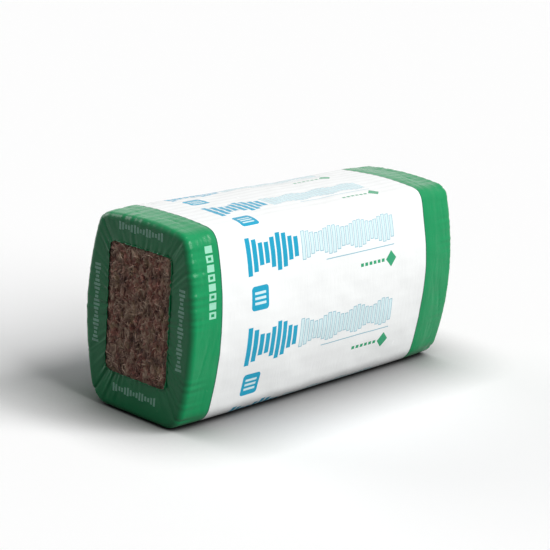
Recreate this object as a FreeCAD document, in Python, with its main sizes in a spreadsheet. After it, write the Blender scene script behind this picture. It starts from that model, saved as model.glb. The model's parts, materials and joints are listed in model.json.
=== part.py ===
"""A pack of pressed mineral wool slabs in a shrunk film sleeve.

The slabs stand on edge side by side, pressed together, and the sleeve holds them. The sleeve's two
ends are turned in over the slabs' ends and leave an open window there.
X runs along the slabs, Y through the stack, Z up. The origin is on the floor, under the middle.
"""
import FreeCAD, Part
import math
import os
import Sketcher

SLAB_COUNT = 16

# Driving sizes in millimetres: alias, value, what it is.
SIZES = [
    ("slab_length", 1230.0, "length of a slab, and of the pack"),
    ("slab_width", 610.0, "width of a slab, which is the height of the pack"),
    ("slab_pressed", 29.0, "thickness of a slab pressed in the pack, at mid height"),
    ("side_bow", 50.0, "how far each big side bulges past its corners"),
    ("crown", 14.0, "how far the top and the underside bulge past their corners"),
    ("settle", 8.0, "depth of the underside that the weight presses flat"),
    ("top_corner", 48.0, "radius along the two upper edges"),
    ("base_corner", 80.0, "radius along the two lower edges"),
    ("end_round", 34.0, "radius round each end face"),
    ("film_wall", 0.5, "wall of the film sleeve"),
    ("window_width", 264.0, "width of the open window in each end"),
    ("window_height", 404.0, "height of the window"),
    ("window_corner", 22.0, "corner radius of the window"),
    ("window_rise", 14.0, "height of the window's middle above the pack's middle"),
]

# How far the solids that only cut or slice reach past the pack's skin.
TOOL_REACH = 60.0

# Sketcher's numbers: the origin point, the vertical axis, and the ends and centre of a bowed_arc.
ORIGIN = (-1, 1)
Y_AXIS = -2
ARC_FROM, ARC_TO, ARC_CENTRE = 2, 1, 3
LINE_FROM, LINE_TO = 1, 2


class Size:
    """A length that carries both its number and the sheet expression that drives it."""

    def __init__(self, text, number):
        self.text = text
        self.number = number

    @staticmethod
    def of(value):
        """A plain number as a Size, and a Size as itself."""
        return value if isinstance(value, Size) else Size(f"{value}", float(value))

    def __add__(self, other):
        other = Size.of(other)
        return Size(f"({self.text} + {other.text})", self.number + other.number)

    def __sub__(self, other):
        other = Size.of(other)
        return Size(f"({self.text} - {other.text})", self.number - other.number)

    def __mul__(self, other):
        other = Size.of(other)
        return Size(f"({self.text} * {other.text})", self.number * other.number)

    def __truediv__(self, other):
        other = Size.of(other)
        return Size(f"({self.text} / {other.text})", self.number / other.number)


NOTHING = Size.of(0)


def make_sheet(doc):
    """The spreadsheet of driving sizes. Returns a Size for each of its cells."""
    sheet = doc.addObject("Spreadsheet::Sheet", "Sizes")
    for row, (alias, value, meaning) in enumerate(SIZES, start=1):
        sheet.set(f"A{row}", meaning)
        sheet.set(f"B{row}", str(value))
        sheet.setAlias(f"B{row}", alias)
    doc.recompute()
    return {alias: Size(f"Sizes.{alias}", float(sheet.get(alias))) for alias, _, _ in SIZES}


def drive(feature, prop, size):
    """Binds a property of a feature to the sheet."""
    feature.setExpression(prop, size.text)


def stack_width(s):
    """Width of the pressed stack at mid height, through all its slabs."""
    return s["slab_pressed"] * SLAB_COUNT


# Sketches across the pack


def cross_sketch(body, name):
    """A sketch across the pack at mid length, its x along Y and its y along Z."""
    plane = next(f for f in body.Origin.OriginFeatures if f.Role == "YZ_Plane")
    sketch = body.newObject("Sketcher::SketchObject", name)
    sketch.AttachmentSupport = [(plane, "")]
    sketch.MapMode = "FlatFace"
    return sketch


def point(across, up):
    """A point of a cross sketch."""
    return FreeCAD.Vector(across, up, 0)


def bind(sketch, kind, where, size):
    """A driving constraint on the geometry and points in where, whose value follows the sheet."""
    index = sketch.addConstraint(Sketcher.Constraint(kind, *where, size.number))
    drive(sketch, f"Constraints[{index}]", size)


def tie(sketch, kind, *where):
    """A constraint with no value."""
    sketch.addConstraint(Sketcher.Constraint(kind, *where))


def bow_radius(chord, bow):
    """Radius of the arc that stands bow high over a chord."""
    return (chord * chord / 4 + bow * bow) / (bow * 2)


def bowed_arc(start, end, bow):
    """An arc from start to end that bulges by bow to the left of that way."""
    along = end - start
    outward = FreeCAD.Vector(-along.y, along.x, 0).normalize()
    return Part.Arc(start, (start + end) / 2 + outward * bow, end)


def bowed_outline(body, name, grow, s):
    """The outline of the pack: four bowed sides between four corners, grow outside the wool."""
    width = stack_width(s) - s["side_bow"] * 2 + grow * 2
    low = s["film_wall"] + s["crown"] - s["settle"] - grow
    high = s["film_wall"] + s["slab_width"] - s["crown"] + grow
    half = width.number / 2
    corners = [
        point(-half, low.number),
        point(-half, high.number),
        point(half, high.number),
        point(half, low.number),
    ]
    left, top, right, base = range(4)
    sides = {
        left: (high - low, s["side_bow"]),
        top: (width, s["crown"]),
        right: (high - low, s["side_bow"]),
        base: (width, s["crown"]),
    }
    sketch = cross_sketch(body, name)
    for side, (_, bow) in sides.items():
        sketch.addGeometry(bowed_arc(corners[side], corners[(side + 1) % 4], bow.number))
    for side in sides:
        tie(sketch, "Coincident", side, ARC_TO, (side + 1) % 4, ARC_FROM)
    tie(sketch, "Symmetric", left, ARC_FROM, base, ARC_FROM, Y_AXIS)
    tie(sketch, "Symmetric", top, ARC_FROM, right, ARC_FROM, Y_AXIS)
    tie(sketch, "Vertical", left, ARC_FROM, left, ARC_TO)
    bind(sketch, "DistanceX", (left, ARC_FROM, base, ARC_FROM), width)
    bind(sketch, "DistanceY", (*ORIGIN, left, ARC_FROM), low)
    bind(sketch, "DistanceY", (*ORIGIN, top, ARC_FROM), high)
    for side, (chord, bow) in sides.items():
        bind(sketch, "Radius", (side,), bow_radius(chord, bow))
    return sketch


def straight_joint(sketch, place, low, high):
    """A slab's flat face, seen from its end. Returns the points of its foot and its head."""
    line = sketch.addGeometry(
        Part.LineSegment(point(place.number, low.number), point(place.number, high.number))
    )
    tie(sketch, "Vertical", line)
    bind(sketch, "DistanceX", (*ORIGIN, line, LINE_FROM), place)
    bind(sketch, "DistanceY", (*ORIGIN, line, LINE_FROM), low)
    bind(sketch, "DistanceY", (*ORIGIN, line, LINE_TO), high)
    return (line, LINE_FROM), (line, LINE_TO)


def bowed_joint(sketch, place, bow, outward, low, high, s):
    """A slab's bowed face, seen from its end. Returns the points of its foot and its head.

    It stands at place at mid height, bulges that way by bow over the slab's width, and runs on
    above and below. outward is 1 where it bulges towards +Y and -1 towards -Y.
    """
    radius = bow_radius(s["slab_width"], bow)
    middle = (low + high) / 2
    rise = (high.number - low.number) / 2
    drop = radius.number - math.sqrt(radius.number**2 - rise**2)
    foot = point(place.number - outward * drop, low.number)
    head = point(place.number - outward * drop, high.number)
    start, end = (foot, head) if outward < 0 else (head, foot)
    arc = sketch.addGeometry(bowed_arc(start, end, drop))
    bind(sketch, "Radius", (arc,), radius)
    bind(sketch, "DistanceX", (*ORIGIN, arc, ARC_CENTRE), place - radius * outward)
    bind(sketch, "DistanceY", (*ORIGIN, arc, ARC_CENTRE), middle)
    foot_end, head_end = (ARC_FROM, ARC_TO) if outward < 0 else (ARC_TO, ARC_FROM)
    bind(sketch, "DistanceY", (*ORIGIN, arc, foot_end), low)
    bind(sketch, "DistanceY", (*ORIGIN, arc, head_end), high)
    return (arc, foot_end), (arc, head_end)


def joint(sketch, index, s):
    """The face before slab number index, counted from 0. Returns its foot and head points.

    The joint in the middle of the stack is flat, and the others bow outward more and more towards
    the pack's sides. The first and last faces are flat and clear of the pack.
    """
    half_count = SLAB_COUNT / 2
    place = s["slab_pressed"] * (index - half_count)
    low = s["film_wall"] - TOOL_REACH
    high = s["film_wall"] + s["slab_width"] + TOOL_REACH
    if index == 0:
        return straight_joint(sketch, place - TOOL_REACH, low, high)
    if index == SLAB_COUNT:
        return straight_joint(sketch, place + TOOL_REACH, low, high)
    if index == half_count:
        return straight_joint(sketch, place, low, high)
    bow = s["side_bow"] * (abs(index - half_count) / half_count)
    outward = 1 if index > half_count else -1
    return bowed_joint(sketch, place, bow, outward, low, high, s)


def close_between(sketch, first, second):
    """A straight edge that closes an outline between two of its points."""
    start, end = (sketch.getPoint(*where) for where in (first, second))
    line = sketch.addGeometry(Part.LineSegment(start, end))
    tie(sketch, "Coincident", line, LINE_FROM, *first)
    tie(sketch, "Coincident", line, LINE_TO, *second)


# Solids


def pad_both_ways(body, sketch, length, name):
    """A pad of the sketch along X, half of its length to each side."""
    pad = body.newObject("PartDesign::Pad", name)
    pad.Profile = sketch
    pad.SideType = "Symmetric"
    pad.Refine = False
    drive(pad, "Length", length)
    body.Document.recompute()
    return pad


def round_edges(body, base, wanted, radius, name):
    """A fillet on those edges of a feature that wanted picks."""
    chosen = [f"Edge{n}" for n, edge in enumerate(base.Shape.Edges, start=1) if wanted(edge)]
    fillet = body.newObject("PartDesign::Fillet", name)
    fillet.Base = (base, chosen)
    fillet.Radius = radius.number
    drive(fillet, "Radius", radius)
    body.Document.recompute()
    return fillet


def press_flat(doc, name, solid, level, s):
    """The solid without what would stand below level, which the weight presses flat."""
    floor = doc.addObject("Part::Box", f"{name}_floor")
    drive(floor, "Length", s["slab_length"] + TOOL_REACH * 2)
    drive(floor, "Width", stack_width(s) + TOOL_REACH * 2)
    floor.Height = TOOL_REACH
    drive(floor, "Placement.Base.x", s["slab_length"] / -2 - TOOL_REACH)
    drive(floor, "Placement.Base.y", stack_width(s) / -2 - TOOL_REACH)
    drive(floor, "Placement.Base.z", level - TOOL_REACH)
    pressed = doc.addObject("Part::Cut", name)
    pressed.Base = solid
    pressed.Tool = floor
    doc.recompute()
    return pressed


def bale(doc, name, grow, s):
    """The bowed and rounded block of the pressed stack, grow outside the wool."""
    body = doc.addObject("PartDesign::Body", f"{name}_body")
    length = s["slab_length"] + grow * 2
    outline = bowed_outline(body, f"{name}_outline", grow, s)
    pad = pad_both_ways(body, outline, length, f"{name}_pad")
    half, middle = length.number / 2, s["slab_width"].number / 2

    def lengthwise(edge):
        return edge.BoundBox.XLength > half

    upper = round_edges(
        body, pad, lambda edge: lengthwise(edge) and edge.BoundBox.ZMin > middle,
        s["top_corner"] + grow, f"{name}_upper_edges",
    )
    lower = round_edges(
        body, upper, lambda edge: lengthwise(edge) and edge.BoundBox.ZMax < middle,
        s["base_corner"] + grow, f"{name}_lower_edges",
    )
    round_edges(
        body, lower, lambda edge: not lengthwise(edge),
        s["end_round"] + grow, f"{name}_end_rounds",
    )
    return press_flat(doc, name, body, s["film_wall"] - grow, s)


def make_slab(doc, index, wool, s):
    """One slab: the part of the pressed block between its two joints."""
    number = f"{index + 1:02d}"
    body = doc.addObject("PartDesign::Body", f"slice_{number}")
    sketch = cross_sketch(body, f"slice_outline_{number}")
    foot, head = joint(sketch, index, s)
    next_foot, next_head = joint(sketch, index + 1, s)
    close_between(sketch, head, next_head)
    close_between(sketch, next_foot, foot)
    pad_both_ways(body, sketch, s["slab_length"] + TOOL_REACH * 2, f"slice_pad_{number}")
    slab = doc.addObject("Part::Common", f"slab_{number}")
    slab.Base = wool
    slab.Tool = body
    slab.Label = f"slab_{number}"
    return slab


def make_windows(doc, s):
    """One bar with rounded edges through the whole pack, which opens a window in each end."""
    body = doc.addObject("PartDesign::Body", "windows")
    sketch = cross_sketch(body, "window_outline")
    middle = s["film_wall"] + s["slab_width"] / 2 + s["window_rise"]
    left, right = s["window_width"] / -2, s["window_width"] / 2
    low, high = middle - s["window_height"] / 2, middle + s["window_height"] / 2
    foot, head = straight_joint(sketch, left, low, high)
    next_foot, next_head = straight_joint(sketch, right, low, high)
    close_between(sketch, head, next_head)
    close_between(sketch, next_foot, foot)
    length = s["slab_length"] + TOOL_REACH * 2
    bar = pad_both_ways(body, sketch, length, "window_bar")
    round_edges(
        body, bar, lambda edge: edge.BoundBox.XLength > length.number / 2,
        s["window_corner"], "window_corners",
    )
    return body


def make_film(doc, wool, s):
    """The sleeve of film: the skin round the wool, open at the windows."""
    skin = bale(doc, "skin", s["film_wall"], s)
    closed = doc.addObject("Part::Cut", "sleeve_without_windows")
    closed.Base = skin
    closed.Tool = wool
    film = doc.addObject("Part::Cut", "film_sleeve")
    film.Base = closed
    film.Tool = make_windows(doc, s)
    film.Label = "film_sleeve"
    return film


def check(doc, pieces):
    """Stops the build if a feature failed or a piece isn't one valid solid."""
    for feature in doc.Objects:
        if {"Invalid", "Error"} & set(feature.State):
            raise RuntimeError(f"{feature.Name} failed: {feature.State}")
    for piece in pieces:
        shape = piece.Shape
        if shape.isNull() or not shape.isValid() or len(shape.Solids) != 1:
            raise RuntimeError(f"{piece.Label} isn't one valid solid")


def main():
    """Builds the pack and writes one STEP file for each piece."""
    doc = FreeCAD.newDocument("slab_pack")
    s = make_sheet(doc)
    wool = bale(doc, "wool", NOTHING, s)
    pieces = [make_slab(doc, index, wool, s) for index in range(SLAB_COUNT)]
    pieces.append(make_film(doc, wool, s))
    doc.recompute()
    check(doc, pieces)
    os.makedirs("parts", exist_ok=True)
    for piece in pieces:
        piece.Shape.exportStep(f"parts/{piece.Label}.step")
        box = piece.Shape.BoundBox
        print(f"{piece.Label}: {box.XLength:.1f} x {box.YLength:.1f} x {box.ZLength:.1f} mm")


main()
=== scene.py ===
"""Looks of a pack of mineral wool slabs: the printed film sleeve, the wool in its windows, the studio.

All sizes are in metres in the row frame: X along the slabs, Y through the stack, Z up, and the floor
at Z 0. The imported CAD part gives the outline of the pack, the joints between the slabs and the ends.
"""
import json
import logging
import math
from dataclasses import dataclass
from enum import Enum
from typing import Sequence

import bpy
import numpy as np
from mathutils import Matrix, Vector
from mathutils.bvhtree import BVHTree

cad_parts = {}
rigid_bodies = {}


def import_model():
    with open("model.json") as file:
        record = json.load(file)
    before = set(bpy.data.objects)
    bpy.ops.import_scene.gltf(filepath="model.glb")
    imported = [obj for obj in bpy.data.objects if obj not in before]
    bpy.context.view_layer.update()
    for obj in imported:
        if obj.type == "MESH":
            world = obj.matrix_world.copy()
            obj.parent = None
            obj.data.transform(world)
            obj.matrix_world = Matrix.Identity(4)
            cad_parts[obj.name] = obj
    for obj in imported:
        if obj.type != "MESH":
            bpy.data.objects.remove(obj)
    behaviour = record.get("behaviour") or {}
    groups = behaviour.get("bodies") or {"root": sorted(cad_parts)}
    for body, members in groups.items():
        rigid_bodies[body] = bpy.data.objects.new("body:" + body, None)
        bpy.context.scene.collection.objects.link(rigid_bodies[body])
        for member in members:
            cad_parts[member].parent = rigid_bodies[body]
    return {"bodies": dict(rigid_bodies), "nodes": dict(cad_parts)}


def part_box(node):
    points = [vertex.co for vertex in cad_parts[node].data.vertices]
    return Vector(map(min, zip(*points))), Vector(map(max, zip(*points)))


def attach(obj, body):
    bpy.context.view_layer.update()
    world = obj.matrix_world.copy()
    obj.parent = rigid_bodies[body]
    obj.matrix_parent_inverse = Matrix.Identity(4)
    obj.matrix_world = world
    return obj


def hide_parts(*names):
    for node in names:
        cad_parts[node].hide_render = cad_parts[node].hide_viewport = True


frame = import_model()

SLEEVE = "film_sleeve"
MILLIMETRE = 0.001
Triple = tuple[float, float, float]
Colour = Triple

log = logging.getLogger("pack")


class Slot(Enum):
    """The record's material slots."""

    FILM = "printed_film"
    WOOL = "mineral_wool"


# ---------------------------------------------------------------- fields over a surface


@dataclass(frozen=True)
class Ripple:
    """Smooth, seeded unevenness in space, made of plane waves in all directions.

    Attributes:
        size: distance from one hump to the next.
        seed: which of the many possible surfaces it is.
        stretch: how many times longer the humps are along X, Y and Z.
        waves: how many plane waves are added up.
    """

    size: float
    seed: int
    stretch: Triple = (1.0, 1.0, 1.0)
    waves: int = 28

    def __call__(self, points: np.ndarray) -> np.ndarray:
        """The unevenness at points, mostly within -1 and 1.

        Args:
            points: places, with their three coordinates in the last axis.

        Returns:
            One number for each place.
        """
        chance = np.random.default_rng(self.seed)
        aim = chance.normal(size=(self.waves, 3))
        aim /= np.linalg.norm(aim, axis=1, keepdims=True)
        pitch = self.size * chance.uniform(0.7, 1.5, (self.waves, 1))
        turns = aim * (2 * math.pi / pitch) / np.array(self.stretch)
        phase = chance.uniform(0, 2 * math.pi, self.waves)
        flat = points.reshape(-1, 3)
        total = np.zeros(len(flat))
        for turn, start in zip(turns, phase):
            total += np.cos(flat @ turn + start)
        return (total / math.sqrt(self.waves)).reshape(points.shape[:-1])


@dataclass(frozen=True)
class Gather:
    """Little pleats side by side round the girth, seeded, which close on themselves.

    Attributes:
        girth: length once round.
        pitch: usual distance between two pleats.
        seed: which of the many possible rows it is.
        waves: how many waves are added up.
    """

    girth: float
    pitch: float
    seed: int
    waves: int = 9

    def __call__(self, along: np.ndarray) -> np.ndarray:
        """The height of the pleats, about -1 to 1.

        Args:
            along: distances round the girth.

        Returns:
            One height for each distance.
        """
        chance = np.random.default_rng(self.seed)
        middle = self.girth / self.pitch
        total = np.zeros_like(along)
        for count in np.unique(np.round(middle * chance.uniform(0.55, 1.6, self.waves))):
            phase = chance.uniform(0, 2 * math.pi)
            total += np.cos(2 * math.pi * count * along / self.girth + phase)
        return total / math.sqrt(self.waves)


def ease(value: np.ndarray, start: float, end: float) -> np.ndarray:
    """0 at start, 1 at end and smooth between them, for a number or an array."""
    share = np.clip((value - start) / (end - start), 0, 1)
    return share * share * (3 - 2 * share)


# ---------------------------------------------------------------- the pack's outline, from the frame


class Section:
    """The pack's outline across its length, read from the CAD sleeve.

    Distances round it start at the middle of the top and run towards -Y.
    """

    RAYS = 1440
    REACH = 2.0

    def __init__(self, node: bpy.types.Object) -> None:
        """Reads the outline at mid length.

        Args:
            node: the CAD sleeve.
        """
        low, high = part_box(node.name)
        self.end = high.x
        self.height = high.z
        self.middle = (low.z + high.z) / 2
        graph = bpy.context.evaluated_depsgraph_get()
        tree = BVHTree.FromObject(node, graph)
        turn = np.arange(self.RAYS) * 2 * math.pi / self.RAYS
        hub = Vector((0, 0, self.middle))
        found = []
        for angle in turn:
            out = Vector((0, -math.sin(angle), math.cos(angle)))
            hit = tree.ray_cast(hub + out * self.REACH, -out)[0]
            found.append((hit.y, hit.z))
        outline = np.array(found + found[:1])
        steps = np.linalg.norm(np.diff(outline, axis=0), axis=1)
        self._along = np.concatenate([[0], np.cumsum(steps)])
        self._outline = outline
        self.girth = float(self._along[-1])

    def at(self, along: np.ndarray) -> np.ndarray:
        """Points (y, z) of the outline at distances along the girth."""
        along = np.mod(along, self.girth)
        return np.stack([np.interp(along, self._along, self._outline[:, k]) for k in (0, 1)], -1)

    def outward(self, along: np.ndarray) -> np.ndarray:
        """Unit vectors (y, z) that point out of the outline.

        Args:
            along: distances round the girth.

        Returns:
            One vector for each distance.
        """
        reach = 6 * MILLIMETRE
        way = self.at(along + reach) - self.at(along - reach)
        way /= np.linalg.norm(way, axis=-1, keepdims=True)
        return np.stack([way[..., 1], -way[..., 0]], -1)

    def half_width(self, z: np.ndarray) -> np.ndarray:
        """Half of the pack's width.

        Args:
            z: heights.

        Returns:
            One half width for each height.
        """
        left = self._outline[: self.RAYS // 2 + 1]
        order = np.argsort(left[:, 1])
        return np.interp(z, left[order, 1], -left[order, 0])

    def top(self, y: np.ndarray) -> np.ndarray:
        """Height of the top over places y across the pack."""
        return self._level(y, self._outline[:, 1] > self.middle)

    def base(self, y: np.ndarray) -> np.ndarray:
        """Height of the underside over places y across the pack."""
        return self._level(y, self._outline[:, 1] < self.middle)

    def _level(self, y: np.ndarray, chosen: np.ndarray) -> np.ndarray:
        """Height of a part of the outline.

        Args:
            y: places across the pack.
            chosen: which of the outline's points belong to the part.

        Returns:
            One height for each place.
        """
        part = self._outline[chosen]
        part = part[np.argsort(part[:, 0])]
        return np.interp(y, part[:, 0], part[:, 1])


@dataclass
class Ends:
    """How the pack closes at its two ends.

    Attributes:
        end: distance of each end from the middle.
        bend: radius with which the sides turn into the end face.
        draw: how far the tight film draws the girth in at the ends.
        draw_from: where that begins, as a share of the half length.
    """

    end: float
    bend: float = 0.019
    draw: float = 0.003
    draw_from: float = 0.25

    def drawn(self, x: np.ndarray) -> np.ndarray:
        """How far the girth is drawn in at places x along the pack."""
        share = np.clip((np.abs(x) / self.end - self.draw_from) / (1 - self.draw_from), 0, 1)
        return self.draw * share**3


# ---------------------------------------------------------------- meshes


def grid_faces(rows: int, columns: int, closed: bool) -> np.ndarray:
    """Corner numbers of the quads of a grid of points, row after row.

    Args:
        rows: how many rows of points.
        columns: how many points in a row.
        closed: whether the last column joins the first.

    Returns:
        An array of four corner numbers for each quad.
    """
    row = np.arange(rows - 1)[:, None]
    column = np.arange(columns if closed else columns - 1)[None, :]
    following = (column + 1) % columns
    corners = [
        row * columns + column,
        row * columns + following,
        (row + 1) * columns + following,
        (row + 1) * columns + column,
    ]
    return np.stack(corners, -1).reshape(-1, 4)


def make_object(name: str, points: np.ndarray, faces: np.ndarray) -> bpy.types.Object:
    """A smooth-shaded mesh object.

    Args:
        name: the piece's name.
        points: its points, one row each.
        faces: corner numbers, one row of three or four for each face.

    Returns:
        The new object, linked to the scene.
    """
    mesh = bpy.data.meshes.new(name)
    mesh.from_pydata(points.tolist(), [], faces.tolist())
    mesh.shade_smooth()
    piece = bpy.data.objects.new(name, mesh)
    bpy.context.scene.collection.objects.link(piece)
    return piece


# ---------------------------------------------------------------- material nodes


class Signal:
    """A number that changes over a surface: the output of a node, with arithmetic on it."""

    def __init__(self, tree: bpy.types.NodeTree, socket: bpy.types.NodeSocket) -> None:
        """Takes the tree and the output socket that gives the number."""
        self.tree = tree
        self.socket = socket

    def math(self, operation: str, *others: "Signal | float") -> "Signal":
        """A Math node on this number.

        Args:
            operation: the node's operation.
            others: its further inputs.

        Returns:
            The result.
        """
        node = self.tree.nodes.new("ShaderNodeMath")
        node.operation = operation
        for place, value in zip(node.inputs, (self, *others)):
            if isinstance(value, Signal):
                self.tree.links.new(value.socket, place)
            else:
                place.default_value = value
        return Signal(self.tree, node.outputs[0])

    def __add__(self, other: "Signal | float") -> "Signal":
        """Sum."""
        return self.math("ADD", other)

    def __sub__(self, other: "Signal | float") -> "Signal":
        """Difference."""
        return self.math("SUBTRACT", other)

    def __mul__(self, other: "Signal | float") -> "Signal":
        """Product, which is also "and" for two masks."""
        return self.math("MULTIPLY", other)

    def __truediv__(self, other: "Signal | float") -> "Signal":
        """Quotient."""
        return self.math("DIVIDE", other)

    def __lt__(self, other: "Signal | float") -> "Signal":
        """Mask, 1 where this is less."""
        return self.math("LESS_THAN", other)

    def __gt__(self, other: "Signal | float") -> "Signal":
        """Mask, 1 where this is more."""
        return self.math("GREATER_THAN", other)

    def __abs__(self) -> "Signal":
        """Size without sign."""
        return self.math("ABSOLUTE")

    def either(self, other: "Signal") -> "Signal":
        """The larger of two, which is "or" for two masks."""
        return self.math("MAXIMUM", other)

    def without(self, other: "Signal") -> "Signal":
        """This mask less another."""
        return self * (other * -1.0 + 1.0)

    def between(self, low: float, high: float) -> "Signal":
        """Mask, 1 from low to high."""
        return (self > low) * (self < high)

    def near(self, middle: "Signal | float", reach: "Signal | float") -> "Signal":
        """Mask, 1 within reach of middle."""
        return abs(self - middle) < reach

    def clipped(self, low: float, high: float) -> "Signal":
        """This, kept from low to high."""
        return self.math("MAXIMUM", low).math("MINIMUM", high)


@dataclass(frozen=True)
class Grain:
    """The size and shape of a noise over a surface.

    Attributes:
        per_metre: how many humps to the metre.
        detail: octaves of finer noise.
        stretch: how many times longer the humps are along X, Y and Z.
        wobble: distortion.
    """

    per_metre: float
    detail: float = 3
    stretch: Triple = (1, 1, 1)
    wobble: float = 0


class Paint:
    """A Principled material under construction."""

    def __init__(self, name: str) -> None:
        """Makes the material with its shader and output.

        Args:
            name: the material's name.
        """
        self.material = bpy.data.materials.new(name)
        self.material.use_nodes = True
        self.tree = self.material.node_tree
        self.tree.nodes.clear()
        self.shader = self.tree.nodes.new("ShaderNodeBsdfPrincipled")
        output = self.tree.nodes.new("ShaderNodeOutputMaterial")
        self.tree.links.new(self.shader.outputs["BSDF"], output.inputs["Surface"])
        self.bumps: bpy.types.NodeSocket | None = None

    def axes(self, source: str, map_name: str = "") -> tuple[Signal, Signal, Signal]:
        """The three coordinates of a surface.

        Args:
            source: "Object" for places in the row frame, or "UV" for a map.
            map_name: the map's name.

        Returns:
            The coordinates. A map's third is 0.
        """
        if source == "UV":
            node = self.tree.nodes.new("ShaderNodeUVMap")
            node.uv_map = map_name
            socket = node.outputs["UV"]
        else:
            node = self.tree.nodes.new("ShaderNodeTexCoord")
            socket = node.outputs[source]
        split = self.tree.nodes.new("ShaderNodeSeparateXYZ")
        self.tree.links.new(socket, split.inputs[0])
        x, y, z = (Signal(self.tree, one) for one in split.outputs)
        return x, y, z

    def noise(self, grain: Grain) -> Signal:
        """A noise in space.

        Args:
            grain: its size and shape.

        Returns:
            The noise, from 0 to 1.
        """
        place = self.tree.nodes.new("ShaderNodeTexCoord")
        scale = self.tree.nodes.new("ShaderNodeMapping")
        scale.inputs["Scale"].default_value = [1 / long for long in grain.stretch]
        noise = self.tree.nodes.new("ShaderNodeTexNoise")
        noise.inputs["Scale"].default_value = grain.per_metre
        noise.inputs["Detail"].default_value = grain.detail
        noise.inputs["Distortion"].default_value = grain.wobble
        self.tree.links.new(place.outputs["Object"], scale.inputs["Vector"])
        self.tree.links.new(scale.outputs["Vector"], noise.inputs["Vector"])
        return Signal(self.tree, noise.outputs["Fac"])

    def attribute(self, name: str) -> Signal:
        """A number stored on the mesh's points.

        Args:
            name: what it is stored as.

        Returns:
            The number.
        """
        node = self.tree.nodes.new("ShaderNodeAttribute")
        node.attribute_name = name
        return Signal(self.tree, node.outputs["Fac"])

    def mix(
        self,
        share: Signal,
        under: "Colour | bpy.types.NodeSocket",
        over: "Colour | bpy.types.NodeSocket",
    ) -> bpy.types.NodeSocket:
        """A colour between two others.

        Args:
            share: 0 for all of under, 1 for all of over.
            under: the one colour.
            over: the other.

        Returns:
            The mixed colour.
        """
        node = self.tree.nodes.new("ShaderNodeMix")
        node.data_type = "RGBA"
        self.tree.links.new(share.socket, node.inputs[0])
        for place, value in ((node.inputs[6], under), (node.inputs[7], over)):
            if isinstance(value, bpy.types.NodeSocket):
                self.tree.links.new(value, place)
            else:
                place.default_value = (*value, 1)
        return node.outputs[2]

    def bump(self, height: Signal, depth: float) -> None:
        """Adds relief to the shading.

        Args:
            height: relief from 0 to 1.
            depth: height of a relief of 1, in metres.
        """
        node = self.tree.nodes.new("ShaderNodeBump")
        node.inputs["Strength"].default_value = 1
        node.inputs["Distance"].default_value = depth
        self.tree.links.new(height.socket, node.inputs["Height"])
        if self.bumps:
            self.tree.links.new(self.bumps, node.inputs["Normal"])
        self.bumps = node.outputs["Normal"]

    def finish(
        self, colour: bpy.types.NodeSocket, roughness: Signal, **constant: float
    ) -> bpy.types.Material:
        """Connects what was made.

        Args:
            colour: the surface's colour.
            roughness: its roughness.
            constant: the shader's other numbers, named as its sockets with _ for a space.

        Returns:
            The material.
        """
        self.tree.links.new(colour, self.shader.inputs["Base Color"])
        self.tree.links.new(roughness.socket, self.shader.inputs["Roughness"])
        if self.bumps:
            self.tree.links.new(self.bumps, self.shader.inputs["Normal"])
        for name, value in constant.items():
            self.shader.inputs[name.replace("_", " ")].default_value = value
        return self.material


# ---------------------------------------------------------------- print on the film


@dataclass(frozen=True)
class Ink:
    """Colours of the printed film.

    Attributes:
        white: the panel.
        green: the bands.
        teal: the solid bars and the badge.
        pale: inside the outlined bars, and the badge's strips.
        line: the outlines and the rule.
        leaf: the dashes and the lozenge.
        mint: the squares on the near band.
        edge: the line between a band and the panel.
        faded: the marks on the frames.
    """

    white: Colour = (0.935, 0.95, 0.945)
    green: Colour = (0.0, 0.300, 0.100)
    teal: Colour = (0.008, 0.36, 0.56)
    pale: Colour = (0.68, 0.86, 0.89)
    line: Colour = (0.30, 0.53, 0.62)
    leaf: Colour = (0.03, 0.36, 0.17)
    mint: Colour = (0.34, 0.74, 0.54)
    edge: Colour = (0.004, 0.14, 0.075)
    faded: Colour = (0.30, 0.62, 0.47)


@dataclass(frozen=True)
class BarRow:
    """A row of upright bars whose heights follow a wave, like a drawing of sound.

    Attributes:
        start: where the row begins.
        count: how many bars.
        pitch: from one bar to the next.
        width: width of a bar.
        height: height of the tallest bars.
        wave: bars from one crest to the next.
        low: height of the shortest bars, as a share of the tallest.
    """

    start: float
    count: int
    pitch: float
    width: float
    height: float
    wave: float
    low: float = 0.45

    def bars(self, along: Signal, across: Signal, inset: float = 0.0) -> Signal:
        """Mask of the bars.

        Args:
            along: distance along the row.
            across: distance from the row's middle line.
            inset: how much smaller each bar is drawn, all round.

        Returns:
            1 on the bars.
        """
        cell = (along - self.start) / self.pitch
        number = cell.math("FLOOR")
        offset = (cell - number - 0.5) * self.pitch
        crest = (number * (2 * math.pi / self.wave)).math("COSINE")
        share = crest * ((1 - self.low) / 2) + (1 + self.low) / 2
        reach = share * (self.height / 2) - inset
        inside = cell.between(0, self.count)
        return inside * offset.near(0.0, self.width / 2 - inset) * across.near(0.0, reach)


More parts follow.
